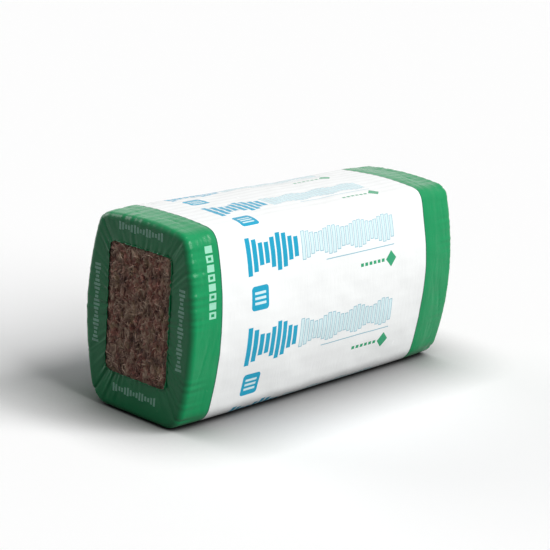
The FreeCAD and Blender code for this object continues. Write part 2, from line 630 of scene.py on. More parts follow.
@dataclass(frozen=True)
class Badge:
    """A rounded square with three level strips in it.

    Attributes:
        place: its middle along the pack.
        row: its middle below the row's middle line.
        half: half its size.
        corner: the radius of its corners.
        strip_pitch: from one strip to the next.
        strip_fill: half a strip's thickness, as a share of that distance.
        strip_half: half a strip's length.
    """

    place: float = -0.336
    row: float = 0.130
    half: float = 0.037
    corner: float = 0.012
    strip_pitch: float = 0.0155
    strip_fill: float = 0.25
    strip_half: float = 0.024

    def square(self, x: Signal, row: Signal) -> Signal:
        """Mask of the square.

        Args:
            x: distance along the pack.
            row: distance from the row's middle line.

        Returns:
            1 on the square.
        """
        straight = self.half - self.corner
        over_x = (abs(x - self.place) - straight).math("MAXIMUM", 0.0)
        over_row = (abs(row - self.row) - straight).math("MAXIMUM", 0.0)
        return (over_x * over_x + over_row * over_row).math("SQRT") < self.corner

    def strips(self, x: Signal, row: Signal) -> Signal:
        """Mask of the three strips.

        Args:
            x: distance along the pack.
            row: distance from the row's middle line.

        Returns:
            1 on the strips.
        """
        cell = (row - self.row) / self.strip_pitch + 0.5
        offset = abs(cell - cell.math("FLOOR") - 0.5)
        return (offset < self.strip_fill) * cell.between(-1, 2) * x.near(self.place, self.strip_half)


@dataclass(frozen=True)
class Trail:
    """A thin rule, and below it a row of short dashes that ends in a plain lozenge.

    Attributes:
        rule_start: where the rule begins.
        rule_end: where it ends.
        rule_row: how far it lies below the row's middle line.
        rule_half: half its thickness.
        start: where the dashes begin.
        count: how many dashes.
        pitch: from one dash to the next.
        fill: half a dash's length, as a share of the pitch.
        row: how far the dashes lie below the row's middle line.
        dash_half: half a dash's thickness.
        lozenge: the lozenge's middle along the pack.
        lozenge_half: half its size.
    """

    rule_start: float = -0.035
    rule_end: float = 0.300
    rule_row: float = 0.0605
    rule_half: float = 0.0016
    start: float = 0.125
    count: int = 6
    pitch: float = 0.021
    fill: float = 0.34
    row: float = 0.105
    dash_half: float = 0.0055
    lozenge: float = 0.282
    lozenge_half: float = 0.027

    def rule(self, x: Signal, row: Signal) -> Signal:
        """Mask of the rule."""
        return x.between(self.rule_start, self.rule_end) * row.near(self.rule_row, self.rule_half)

    def dashes(self, x: Signal, row: Signal) -> Signal:
        """Mask of the dashes and the lozenge.

        Args:
            x: distance along the pack.
            row: distance from the row's middle line.

        Returns:
            1 on them.
        """
        cell = (x - self.start) / self.pitch
        offset = abs(cell - cell.math("FLOOR") - 0.5)
        dash = cell.between(0, self.count) * (offset < self.fill) * row.near(self.row, self.dash_half)
        return dash.either((abs(x - self.lozenge) + abs(row - self.row)) < self.lozenge_half)


@dataclass(frozen=True)
class Squares:
    """Columns of small squares on the near band, every second one hollow.

    Attributes:
        place: the columns' middle along the pack.
        start: where the first column begins, round the girth.
        apart: from one column to the next, round the girth.
        count: how many squares in a column.
        pitch: from one square to the next.
        half_long: half a square's size along the pack.
        half_round: half its size round the girth.
        hole_long: half the hollow's size along the pack.
        hole_round: half its size round the girth.
    """

    place: float = -0.536
    start: float = 0.212
    apart: float = 0.955
    count: int = 8
    pitch: float = 0.0276
    half_long: float = 0.0135
    half_round: float = 0.0105
    hole_long: float = 0.0062
    hole_round: float = 0.0045

    def mask(self, x: Signal, along: Signal) -> Signal:
        """Mask of the squares.

        Args:
            x: distance along the pack.
            along: distance round the girth.

        Returns:
            1 on the squares.
        """
        cell = ((along - self.start) / self.pitch).math("FLOORED_MODULO", self.apart / self.pitch)
        number = cell.math("FLOOR")
        offset = abs(cell - number - 0.5) * self.pitch
        outer = (offset < self.half_round) * x.near(self.place, self.half_long)
        inner = (offset < self.hole_round) * x.near(self.place, self.hole_long)
        odd = number.math("FLOORED_MODULO", 2.0) > 0.5
        return outer.without(inner * odd) * (number < self.count)


@dataclass(frozen=True)
class Print:
    """The pattern printed on the white panel, once for each row, and on the green bands.

    Attributes:
        rows: how many times the panel's pattern goes round the girth.
        first_row: distance in the print from the middle of the top to the middle of a row.
        above: share of a row that lies above its middle line.
        squeeze: how much more the film has shrunk over the top and the underside than at the sides.
        squeeze_reach: half the width of the part of the top and the underside that did so.
        near_band: width of the green band at the -X end, up to the white panel.
        far_band: the same at the +X end.
        outline_line: thickness of the line round an outlined bar.
        frame_side: how far the marks on an end's upright sides stand from the middle.
        frame_top: height of the marks over the window.
        frame_low: height of the marks under the window.
        panel_mottle: unevenness of the white.
        panel_shade: the darkest white in it, as a share of the ink's.
        band_mottle: unevenness of the green.
        band_shades: the darkest and the palest green of the bands, as shares of the ink's.
        frame_painted_shade: the same on the ends, darker than the bands' to paint the shade that the end
            faces lie in.
    """

    rows: int = 8
    first_row: float = 0.0714
    above: float = 0.27
    squeeze: float = 0.33
    squeeze_reach: float = 0.24
    near_band: float = 0.117
    far_band: float = 0.150
    outline_line: float = 0.0026
    frame_side: float = 0.178
    frame_top: float = 0.572
    frame_low: float = 0.072
    panel_mottle: Grain = Grain(9, detail=2)
    panel_shade: float = 0.975
    band_mottle: Grain = Grain(14)
    band_shades: tuple[float, float] = (0.86, 1.0)
    frame_painted_shade: tuple[float, float] = (0.68, 0.80)
    ink: Ink = Ink()
    badge: Badge = Badge()
    trail: Trail = Trail()
    squares: Squares = Squares()
    solid: BarRow = BarRow(-0.387, 9, pitch=0.0258, width=0.0192, height=0.122, wave=5.2, low=0.50)
    outlined: BarRow = BarRow(-0.145, 22, pitch=0.0204, width=0.0165, height=0.094, wave=6.4, low=0.62)
    upright: BarRow = BarRow(0.190, 20, pitch=0.0125, width=0.0078, height=0.026, wave=4.6)
    level: BarRow = BarRow(-0.092, 15, pitch=0.0125, width=0.0078, height=0.026, wave=4.6)

    def row_place(self, along: Signal, girth: float) -> Signal:
        """Distance in the print from the middle line of the nearest row, growing downwards.

        Args:
            along: distance round the girth from the middle of the top.
            girth: length once round.

        Returns:
            The distance. The print is closer together where the film has shrunk more.
        """
        reach = self.squeeze_reach
        squeezed = along
        for start, length in ((0.0, reach), (girth / 2 - reach, 2 * reach), (girth - reach, reach)):
            past = (along - start).clipped(0.0, length)
            squeezed = squeezed + past * self.squeeze
        pitch = (girth + 4 * reach * self.squeeze) / self.rows
        turn = (squeezed - self.first_row) / pitch + self.above
        return (turn - turn.math("FLOOR") - self.above) * pitch

    def panel(self, paint: Paint, x: Signal, row: Signal) -> bpy.types.NodeSocket:
        """The white panel with its pattern.

        Args:
            paint: the material being made.
            x: distance along the pack.
            row: distance from the middle line of the nearest row, growing downwards.

        Returns:
            The panel's colour.
        """
        ink = self.ink
        shaded = tuple(c * self.panel_shade for c in ink.white)
        colour = paint.mix(paint.noise(self.panel_mottle), shaded, ink.white)
        outer = self.outlined.bars(x, row)
        inner = self.outlined.bars(x, row, self.outline_line)
        colour = paint.mix(inner, colour, ink.pale)
        colour = paint.mix(outer.without(inner), colour, ink.line)
        colour = paint.mix(self.solid.bars(x, row), colour, ink.teal)
        colour = paint.mix(self.trail.rule(x, row), colour, ink.line)
        colour = paint.mix(self.trail.dashes(x, row), colour, ink.leaf)
        square = self.badge.square(x, row)
        colour = paint.mix(square, colour, ink.teal)
        return paint.mix(square * self.badge.strips(x, row), colour, ink.pale)

    def band(self, paint: Paint, x: Signal, along: Signal) -> bpy.types.NodeSocket:
        """A green band, with a column of small pale squares on the near one.

        Args:
            paint: the material being made.
            x: distance along the pack.
            along: distance round the girth.

        Returns:
            The band's colour.
        """
        green = self.green(paint, *self.band_shades)
        return paint.mix(self.squares.mask(x, along), green, self.ink.mint)

    def green(self, paint: Paint, low: float, high: float) -> bpy.types.NodeSocket:
        """The bands' green, a little uneven.

        Args:
            paint: the material being made.
            low: its darkest, as a share of the ink.
            high: its lightest.

        Returns:
            The colour.
        """
        darker, lighter = (tuple(c * share for c in self.ink.green) for share in (low, high))
        return paint.mix(paint.noise(self.band_mottle), darker, lighter)

    def frame(self, paint: Paint, y: Signal, z: Signal) -> bpy.types.NodeSocket:
        """The frame round a window: a darker green than the bands', which is painted shade, with small
        faded bars on its four sides.

        Args:
            paint: the material being made.
            y: distance across the pack.
            z: height.

        Returns:
            The frame's colour.
        """
        marks = self.upright.bars(z, abs(y) - self.frame_side)
        marks = marks.either(self.level.bars(y, z - self.frame_top))
        marks = marks.either(self.level.bars(y, z - self.frame_low))
        # the frame's green is darkened as painted shade of the end faces
        return paint.mix(marks, self.green(paint, *self.frame_painted_shade), self.ink.faded)


@dataclass(frozen=True)
class FilmFinish:
    """The printed, shrunk film.

    Attributes:
        artwork: its print.
        section: the outline that it goes round.
        edge_line: width of the dark line between a band and the white panel.
        frame_start: how far from the end a band's green begins to go over to the frame's.
        frame_full: how far from the end it has done so.
        pebble: fine unevenness of the film.
        pebble_depth: its depth.
        crinkle: small crinkles.
        crinkle_depth: their depth.
        smear: changes of the gloss.
        roughness: the least roughness.
        roughness_range: how much rougher it is in the dullest places.
    """

    MAP = "girth"
    FLAT_MAP = "OFBake"

    artwork: Print
    section: Section
    edge_line: float = 4.2 * MILLIMETRE
    frame_start: float = 0.012
    frame_full: float = 0.001
    pebble: Grain = Grain(160, detail=2)
    pebble_depth: float = 0.12 * MILLIMETRE
    crinkle: Grain = Grain(30, stretch=(0.4, 1.6, 1.6), wobble=0.5)
    crinkle_depth: float = 0.6 * MILLIMETRE
    smear: Grain = Grain(22, detail=4)
    roughness: float = 0.16
    roughness_range: float = 0.16

    def material(self) -> bpy.types.Material:
        """Makes the material. Its map holds the place along the pack and round the girth.

        Returns:
            The material.
        """
        art, end = self.artwork, self.section.end
        paint = Paint(Slot.FILM.value)
        x, along, _ = paint.axes("UV", self.MAP)
        place_x, place_y, place_z = paint.axes("Object")
        panel = art.panel(paint, x, art.row_place(along, self.section.girth))
        from_near = x + (end - art.near_band)
        from_far = x * -1.0 + (end - art.far_band)
        inward = from_near.math("MINIMUM", from_far)
        colour = paint.mix(inward < 0.0, panel, art.band(paint, x, along))
        colour = paint.mix(inward.near(0.0, self.edge_line / 2), colour, art.ink.edge)
        # on the end faces the bands' green goes over to the frame's darker green, a painted shade
        past = abs(place_x) - (end - self.frame_start)
        over_end = (past / (self.frame_start - self.frame_full)).clipped(0.0, 1.0)
        colour = paint.mix(over_end, colour, art.frame(paint, place_y, place_z))
        paint.bump(paint.noise(self.pebble), self.pebble_depth)
        paint.bump(paint.noise(self.crinkle), self.crinkle_depth)
        roughness = paint.noise(self.smear) * self.roughness_range + self.roughness
        gloss = {"IOR": 1.45, "Specular_IOR_Level": 0.28, "Sheen_Weight": 0.05, "Sheen_Roughness": 0.3}
        return paint.finish(colour, roughness, **gloss)


@dataclass(frozen=True)
class WoolFinish:
    """Matt brown glass wool, in clumps of lighter and darker fibre.

    Attributes:
        dark: the darkest wool, which paints the shade in the hollows and is also reached by the darker
            clumps.
        brown: the usual colour.
        red: colour of the redder patches.
        tawny: colour of the yellower patches.
        tan_and_highlight: colour of the pale loose fibre, which is also the painted highlight on raised
            streaks and lumps.
        clumps: the clumps of lighter and darker wool.
        clump_contrast: how much they differ.
        streaks: the bundles of fibre in them.
        streak_contrast: how much they differ, a painted light and shade that follows their relief.
        streak_depth: their relief.
        fibre: the finest fibre.
        fibre_depth: its relief.
        red_patches: where the wool is redder.
        red_contrast: how sharply those patches end.
        tawny_patches: where it is yellower.
        tawny_from: strength of the noise at which those begin.
        tawny_contrast: how sharply they end.
        middle: lightness of the usual wool, from 0 for the painted shade of a hollow to 1 for loose fibre
            and painted highlight.
        tuft_weight: how much the stored tint counts: a tuft's own tint, and on the torn faces a painted
            light and shade.
        hollow_shade_contrast: how fast the painted shade of the hollows gives way as it gets lighter.
        tan_and_highlight_from: lightness from which the pale fibre and the painted highlight show.
        tan_and_highlight_contrast: how fast they take over.
    """

    dark: Colour = (0.115, 0.056, 0.044)
    brown: Colour = (0.40, 0.230, 0.172)
    red: Colour = (0.50, 0.200, 0.155)
    tawny: Colour = (0.47, 0.310, 0.180)
    tan_and_highlight: Colour = (0.66, 0.49, 0.37)
    clumps: Grain = Grain(38, detail=5, stretch=(1, 0.8, 1.5), wobble=1.2)
    clump_contrast: float = 2.8
    streaks: Grain = Grain(150, stretch=(1, 0.5, 2.2), wobble=2.0)
    streak_contrast: float = 1.1
    streak_depth: float = 1.6 * MILLIMETRE
    fibre: Grain = Grain(420, detail=2, stretch=(1, 0.4, 1.6), wobble=1.0)
    fibre_depth: float = 0.7 * MILLIMETRE
    red_patches: Grain = Grain(17, detail=2)
    red_contrast: float = 6.0
    tawny_patches: Grain = Grain(26, detail=2)
    tawny_from: float = 0.56
    tawny_contrast: float = 9.0
    middle: float = 0.47
    tuft_weight: float = 0.55
    hollow_shade_contrast: float = 2.2
    tan_and_highlight_from: float = 0.45
    tan_and_highlight_contrast: float = 1.8

    def material(self, name: str, shift: float) -> bpy.types.Material:
        """Makes the material.

        Args:
            name: its name.
            shift: how much lighter or darker than the usual wool it is.

        Returns:
            The material.
        """
        paint = Paint(name)
        clumps, streaks = paint.noise(self.clumps), paint.noise(self.streaks)
        # lightness: random clumps, plus a painted light and shade that follows the streaks' relief and the
        # stored tint
        light = (clumps - 0.5) * self.clump_contrast + (streaks - 0.5) * self.streak_contrast
        tufts = paint.attribute(WoolSlab.TINT_AND_SHADE) * self.tuft_weight
        light = (light + tufts + (self.middle + shift)).clipped(0.0, 1.0)
        red = ((paint.noise(self.red_patches) - 0.5) * self.red_contrast + 0.5).clipped(0.0, 1.0)
        tawny = paint.noise(self.tawny_patches) - self.tawny_from
        tawny = (tawny * self.tawny_contrast).clipped(0.0, 1.0)
        usual = paint.mix(red, self.brown, self.red)
        usual = paint.mix(tawny, usual, self.tawny)
        # the darkest wool paints the shade in the hollows; the tan is pale fibre and also the painted
        # highlight on raised fibre
        out_of_shade = (light * self.hollow_shade_contrast).math("MINIMUM", 1.0)
        loose = ((light - self.tan_and_highlight_from) * self.tan_and_highlight_contrast).math("MAXIMUM", 0.0)
        colour = paint.mix(loose, paint.mix(out_of_shade, self.dark, usual), self.tan_and_highlight)
        paint.bump(streaks, self.streak_depth)
        paint.bump(paint.noise(self.fibre), self.fibre_depth)
        return paint.finish(colour, clumps * 0.1 + 0.85, Sheen_Weight=0.15)


# ---------------------------------------------------------------- the film sleeve


@dataclass
class Window:
    """The open window in each end of the sleeve.

    Attributes:
        width: its width.
        height: its height.
        corner: the radius of its corners.
        middle: the height of its middle.
    """

    width: float = 0.262
    height: float = 0.404
    corner: float = 0.024
    middle: float = 0.3195

    def seen_from(self, hub: np.ndarray, aim: np.ndarray) -> np.ndarray:
        """Points of the window's edge in given directions.

        Args:
            hub: the point (y, z) inside the window that they are seen from.
            aim: unit vectors (y, z).

        Returns:
            Points (y, z) of the edge.
        """
        reach = np.linspace(0, 0.5, 2501)
        spots = hub + aim[:, None, :] * reach[None, :, None]
        away = np.abs(spots - np.array([0, self.middle])) - np.array([self.width, self.height]) / 2
        over = np.maximum(away + self.corner, 0)
        inside = (np.linalg.norm(over, axis=-1) <= self.corner) & (away.max(-1) <= 0)
        last = inside.cumprod(axis=1).sum(axis=1) - 1
        return hub + aim * reach[last][:, None]


@dataclass(frozen=True)
class Crease:
    """A long thin ridge in the film, which runs more or less round the girth.

    Attributes:
        start: where it starts, round the girth.
        length: how long it is.
        place: distance of its middle from the middle of the pack's length.
        slant: how far it leans towards the end, for each metre of its length.
        height: how far it stands up in its middle.
        width: how fast it falls off to its sides.
    """

    start: float
    length: float
    place: float
    slant: float
    height: float
    width: float = 0.0042

    def height_at(self, reach: np.ndarray, past: np.ndarray) -> np.ndarray:
        """How far it stands up at given places.

        Args:
            reach: distances from the middle of the pack's length.
            past: distances round the girth, from its start on.

        Returns:
            One height for each place.
        """
        share = past / self.length
        away = reach - self.place - self.slant * (share - 0.5) * self.length
        return np.exp(-np.abs(away) / self.width) * np.sin(math.pi * np.clip(share, 0, 1)) * self.height


@dataclass(frozen=True)
class Weld:
    """The lap where the film's two edges are welded, low on the +Y side.

    Attributes:
        place: where it lies, as a share of the girth.
        lap: how far the overlapping film stands up.
        start: distances from its place between which it rises.
        stop: distances between which it falls again.
        seam_place: distance of the weld's groove.
        seam_width: how fast the groove falls off to its sides.
        seam_depth: its depth, as a share of the lap.
        wander: unevenness along the weld.
        wander_height: height of that.
        wander_reach: how fast it falls off to both sides.
    """

    place: float = 0.665
    lap: float = 0.0013
    start: tuple[float, float] = (-0.003, 0.003)
    stop: tuple[float, float] = (0.018, 0.023)
    seam_place: float = 0.010
    seam_width: float = 0.0045
    seam_depth: float = 0.85
    wander: Ripple = Ripple(0.05, 41, (1, 9, 9))
    wander_height: float = 0.0003
    wander_reach: float = 0.02

    def height_at(self, points: np.ndarray, turn: np.ndarray, girth: float) -> np.ndarray:
        """How far it stands up at given places.

        Args:
            points: the places.
            turn: their distances round the girth.
            girth: length once round.

        Returns:
            The heights.
        """
        away = turn - girth * self.place
        lap = ease(away, *self.start) * (1 - ease(away, *self.stop)) * self.lap
        seam = np.exp(-(((away - self.seam_place) / self.seam_width) ** 2)) * -self.seam_depth * self.lap
        wander = self.wander(points) * self.wander_height
        return lap + seam + wander * np.exp(-((away / self.wander_reach) ** 2))


@dataclass(frozen=True)
class Fade:
    """Where something on the film sets in, as distances from the pack's end.

    Attributes:
        start: where it begins.
        full: where it is at its full.
    """

    start: float
    full: float

    def at(self, reach: np.ndarray, end: float) -> np.ndarray:
        """0 before it begins and 1 at its full, at distances from the middle of the length."""
        return ease(reach, end - self.start, end - self.full)


@dataclass
class FilmSleeve:
    """The sleeve of film round the stack, turned in over both ends to a window.

    Attributes:
        section: the pack's outline.
        ends: how the pack closes.
        window: the window in each end.
        slab_pitch: from one slab's joint to the next, which shows faintly through the film on top.
        around: how many points go round the girth.
        lip: radius of the rolled edge of the window.
        lip_turn: how far they curl round, in degrees.
        lip_uneven: how much their radius changes.
        lip_wander: where it does.
        face_rows: rows of points over an end face.
        bend_rows: rows over the bend.
        lip_rows: rows over the rolled edge.
        fine_step: from row to row along the side near the ends.
        coarse_step: the same in the middle.
        fine_reach: how far from the bends the rows are fine.
        crease_seed: which set of creases it has.
        crease_count: how many chance creases there are.
        crease_length: their least and greatest length.
        crease_place: their least and greatest distance from the end.
        crease_slant: the most that they lean.
        crease_height: their least and greatest height.
        dent: depth of the broad soft dents.
        broad_dents: where the broad ones lie.
        small_dents: where the small ones lie.
        small_dent: depth of the small ones, as a share of the broad ones'.
        dent_stop: where they end.
        pleat: height of the gathers beside the ends.
        wide_pleats: usual distance between two wide ones, and their seed.
        narrow_pleats: the same for the narrow ones.
        narrow_pleat: height of the narrow ones, as a share of the wide ones'.
        pleat_patches: where they are stronger.
        pleat_patchy: how much stronger and weaker they are.
        pleat_on_face: how high they still are at the window, as a share of the height at the bend.
        pleat_start: where they begin.
        hoop: depth of the dents that run round the girth in the bands.
        hoop_lines: where they lie.
        hoop_patches: where there are more of them.
        hoop_cover: how much of the bands has them at all.
        hoop_start: where they begin.
        neck: how far the bands are drawn in.
        neck_start: where that begins.
        neck_stop: where it ends.
        pressed_flat: heights between which the film goes from flat on the floor to free.
        swell: how far the film stands out at the window's edge.
        pucker: height of the puckers round the window.
        pucker_pitch: usual distance between two of them, and their seed.
        pucker_focus: how closely they keep to the window's edge.
        rib: depth of the slabs' joints as they show on top.
        rib_depths: distances under the top between which they come in.
        fold: height of the folds over the corners.
        fold_start: where they begin.
        fold_width: how fast a fold falls off to its sides.
        fold_slant: how far it leans aside on the end face.
        fold_edge: distances from it between which the film beside it steps down.
        fold_step: height of that step, as a share of the fold's height.
        fold_step_reach: how fast the step falls off.
        weld: the welded lap.
        turned_in: length of film that was shrunk over each end.
    """

    section: Section
    ends: Ends
    window: Window
    slab_pitch: float
    around: int = 372
    lip: float = 0.0016
    lip_turn: float = 250.0
    lip_uneven: float = 0.45
    lip_wander: Ripple = Ripple(0.06, 51)
    face_rows: int = 20
    bend_rows: int = 10
    lip_rows: int = 6
    fine_step: float = 0.0043
    coarse_step: float = 0.0100
    fine_reach: float = 0.150
    crease_seed: int = 61
    crease_count: int = 16
    crease_length: tuple[float, float] = (0.09, 0.22)
    crease_place: tuple[float, float] = (0.035, 0.110)
    crease_slant: float = 0.25
    crease_height: tuple[float, float] = (0.0008, 0.0016)
    dent: float = 0.0017
    broad_dents: Ripple = Ripple(0.21, 3, (1.5, 1, 1))
    small_dents: Ripple = Ripple(0.075, 4)
    small_dent: float = 0.24
    dent_stop: Fade = Fade(0.050, 0.0)
    pleat: float = 0.00085
    wide_pleats: tuple[float, int] = (0.031, 11)
    narrow_pleats: tuple[float, int] = (0.016, 12)
    narrow_pleat: float = 0.24
    pleat_patches: Ripple = Ripple(0.16, 8)
    pleat_patchy: float = 0.45
    pleat_on_face: float = 0.35
    pleat_start: Fade = Fade(0.115, 0.012)
    hoop: float = 0.0005
    hoop_lines: Ripple = Ripple(0.020, 21, (1, 9, 9))
    hoop_patches: Ripple = Ripple(0.13, 22)
    hoop_cover: float = 0.3
    hoop_start: Fade = Fade(0.175, 0.060)
    neck: float = 0.0012
    neck_start: Fade = Fade(0.150, 0.125)
    neck_stop: Fade = Fade(0.100, 0.075)
    pressed_flat: tuple[float, float] = (0.001, 0.050)
    swell: float = 0.0022
    pucker: float = 0.0016
    pucker_pitch: tuple[float, int] = (0.038, 31)
    pucker_focus: float = 2.5
    rib: float = 0.00032
    rib_depths: tuple[float, float] = (0.05, 0.02)
    fold: float = 0.0034
    fold_start: Fade = Fade(0.105, 0.018)
    fold_width: float = 0.0050
    fold_slant: float = 0.004
    fold_edge: tuple[float, float] = (-0.003, 0.003)
    fold_step: float = 0.32
    fold_step_reach: float = 0.03
    weld: Weld = Weld()
    turned_in: float = 0.14

    def side_places(self) -> np.ndarray:
        """Places x of the rows of points along the side.

        Returns:
            The places from -X to +X, closer together near the ends.
        """
        stop = self.section.end - self.ends.bend
        turn = stop - self.fine_reach
        fine = np.linspace(turn, stop, round(self.fine_reach / self.fine_step) + 1)
        coarse = np.linspace(-turn, turn, round(2 * turn / self.coarse_step) + 1)
        return np.concatenate([-fine[::-1], coarse[1:-1], fine])

    def end_rows(self, along: np.ndarray) -> tuple[np.ndarray, np.ndarray]:
        """Rows of points from the window's edge to where the side begins, at the +X end.

        Args:
            along: distances of the points round the girth.

        Returns:
            The points, row after row, and the share of the way over the end face for each row.
        """
        bend, end = self.ends.bend, self.section.end
        ring = self.section.at(along)
        out = self.section.outward(along)
        angle = np.linspace(0, math.pi / 2, self.bend_rows + 1)[1:]
        rows, shares = [], []
        inner = ring - out * (bend + self.ends.drawn(np.array(end)))
        hub = np.array([0.0, self.window.middle])
        aim = inner - hub
        aim /= np.linalg.norm(aim, axis=1, keepdims=True)
        edge = self.window.seen_from(hub, aim)
        for share in np.linspace(0, 1, self.face_rows + 1):
            spot = edge + (inner - edge) * share
            rows.append(np.column_stack([np.full(len(along), end), spot]))
            shares.append(share)
        for turn in angle:
            x = end - bend * (1 - math.cos(turn))
            inset = bend * (1 - math.sin(turn)) + self.ends.drawn(np.array(x))
            rows.append(np.column_stack([np.full(len(along), x), ring - out * inset]))
            shares.append(1.0)
        return np.array(rows), np.array(shares)

    def build(self) -> bpy.types.Object:
        """Makes the sleeve.

        Returns:
            Its mesh object, with the map of the print.
        """
        girth = self.section.girth
        along = np.arange(self.around) * girth / self.around
        ring, out = self.section.at(along), self.section.outward(along)
        far, share = self.end_rows(along)
        near = far * np.array([-1, 1, 1])
        places = self.side_places()[1:-1]
        side = [
            np.column_stack([np.full(len(along), x), ring - out * self.ends.drawn(np.array(x))])
            for x in places
        ]
        points = np.concatenate([near, np.array(side), far[::-1]])
        face_share = np.concatenate([share, np.ones(len(places)), share[::-1]])
        points = self.crumple(points, along, face_share)
        points = self.roll_lips(points)
        faces = grid_faces(len(points), self.around, True)
        sleeve = make_object("printed_film_sleeve", points.reshape(-1, 3), faces[:, ::-1])
        self.add_map(sleeve, points, along)
        return sleeve

    def normals(self, points: np.ndarray) -> np.ndarray:
        """Outward unit vectors of the sleeve.

        Args:
            points: its points, row after row.

        Returns:
            One vector for each point.
        """
        round_it = np.roll(points, -1, axis=1) - np.roll(points, 1, axis=1)
        lengthwise = np.gradient(points, axis=0)
        cross = np.cross(lengthwise, round_it)
        return cross / np.maximum(np.linalg.norm(cross, axis=-1, keepdims=True), 1e-12)

    def crumple(self, points: np.ndarray, along: np.ndarray, share: np.ndarray) -> np.ndarray:
        """Moves the points in and out as shrunk film lies over wool.

        Args:
            points: the smooth sleeve.
            along: distances of its columns round the girth.
            share: how far each row is over the end face, 0 at the window and 1 at the bend.

        Returns:
            The points with dents, pleats, creases, corner folds and the weld.
        """
        reach = np.abs(points[..., 0])
        turn = np.broadcast_to(along, reach.shape)
        on_face = 1 - share[:, None]
        move = self.dents(points, reach) + self.pleats(points, reach, turn, share[:, None])
        move += self.hoops(points, reach) * (1 - on_face) + self.ribs(points) * (1 - on_face)
        weld = self.weld.height_at(points, turn, self.section.girth)
        move += self.creases(reach, turn) - self.necks(reach) + weld
        move *= ease(points[..., 2], *self.pressed_flat)
        pucker = Gather(self.section.girth, *self.pucker_pitch)(turn) * self.pucker
        move += on_face * self.swell + pucker * on_face**self.pucker_focus
        move += self.corner_folds(points, turn, on_face)
        return points + self.normals(points) * move[..., None]

    def dents(self, points: np.ndarray, reach: np.ndarray) -> np.ndarray:
        """Broad soft dents, with smaller ones in them.

        Args:
            points: the sleeve's points.
            reach: their distances from the middle of the pack's length.

        Returns:
            How far each point moves out.
        """
        dents = (self.broad_dents(points) + self.small_dents(points) * self.small_dent) * self.dent
        return dents * (1 - self.dent_stop.at(reach, self.section.end))

    def pleats(
        self, points: np.ndarray, reach: np.ndarray, turn: np.ndarray, share: np.ndarray
    ) -> np.ndarray:
        """Gathers beside the ends, stronger in some places than in others.

        Args:
            points: the sleeve's points.
            reach: their distances from the middle of the pack's length.
            turn: their distances round the girth.
            share: how far each row is over the end face.

        Returns:
            How far each point moves out.
        """
        girth = self.section.girth
        wide, narrow = Gather(girth, *self.wide_pleats), Gather(girth, *self.narrow_pleats)
        pleats = (wide(turn) + narrow(turn) * self.narrow_pleat) * self.pleat
        strength = 1 - self.pleat_patchy + self.pleat_patchy * self.pleat_patches(points)
        over_face = self.pleat_on_face + (1 - self.pleat_on_face) * share**0.5
        return pleats * strength * self.pleat_start.at(reach, self.section.end) * over_face

    def hoops(self, points: np.ndarray, reach: np.ndarray) -> np.ndarray:
        """Fine dents in the bands that run round the girth, in patches.

        Args:
            points: the sleeve's points.
            reach: their distances from the middle of the pack's length.

        Returns:
            How far each point moves out.
        """
        lines = np.abs(self.hoop_lines(points)) * self.hoop
        patches = np.clip(self.hoop_patches(points) + self.hoop_cover, 0, 1)
        return -lines * patches * self.hoop_start.at(reach, self.section.end)

    def necks(self, reach: np.ndarray) -> np.ndarray:
        """How far the bands are drawn in, at distances from the middle of the pack's length."""
        end = self.section.end
        return self.neck * self.neck_start.at(reach, end) * (1 - self.neck_stop.at(reach, end))

    def ribs(self, points: np.ndarray) -> np.ndarray:
        """The slabs' joints, which show faintly on top.

        Args:
            points: the sleeve's points.

        Returns:
            How far each point moves out.
        """
        height = self.section.height
        on_top = ease(points[..., 2], *(height - depth for depth in self.rib_depths))
        return np.cos(2 * math.pi * points[..., 1] / self.slab_pitch) * -self.rib * on_top

    def creases(self, reach: np.ndarray, turn: np.ndarray) -> np.ndarray:
        """A few long thin ridges in the bands, which run more or less round the girth.

        Args:
            reach: distances of the points from the middle of the pack's length.
            turn: their distances round the girth.

        Returns:
            How far each point moves out.
        """
        chance = np.random.default_rng(self.crease_seed)
        girth, end = self.section.girth, self.section.end
        total = np.zeros_like(reach)
        creases = [Crease(start=0.470, length=0.17, place=end - 0.056, slant=0.22, height=0.0019)]
        for _ in range(self.crease_count):
            start, length = chance.uniform(0, girth), chance.uniform(*self.crease_length)
            place = end - chance.uniform(*self.crease_place)
            slant = chance.uniform(-self.crease_slant, self.crease_slant)
            creases.append(Crease(start, length, place, slant, chance.uniform(*self.crease_height)))
        for crease in creases:
            total += crease.height_at(reach, (turn - crease.start) % girth)
        return total

    def corner_folds(self, points: np.ndarray, turn: np.ndarray, on_face: np.ndarray) -> np.ndarray:
        """Folds that run from the window's corners over the pack's corners.

        Args:
            points: the sleeve's points.
            turn: their distances round the girth.
            on_face: 1 at the window's edge, 0 from the bend on.

        Returns:
            How far each point moves out.
        """
        girth = self.section.girth
        fade = self.fold_start.at(np.abs(points[..., 0]), self.section.end)
        total = np.zeros_like(turn)
        hub = np.array([0.0, self.window.middle])
        out = self.section.at(turn[0]) - hub
        for side, level, lean in ((-1, 1, 1), (1, 1, -1), (-1, -1, -1), (1, -1, 1)):
            corner = np.array([side * self.window.width / 2, level * self.window.height / 2])
            aligned = (out @ corner) / np.linalg.norm(out, axis=1) / np.linalg.norm(corner)
            place = turn[0][np.argmax(aligned)]
            away = (turn - place + girth / 2) % girth - girth / 2
            away = away * lean + on_face * self.fold_slant
            ridge = np.exp(-np.abs(away) / self.fold_width)
            step = (1 - ease(away, *self.fold_edge)) * np.exp(-np.clip(-away, 0, 1) / self.fold_step_reach)
            total += (ridge + step * self.fold_step) * self.fold * fade
        return total

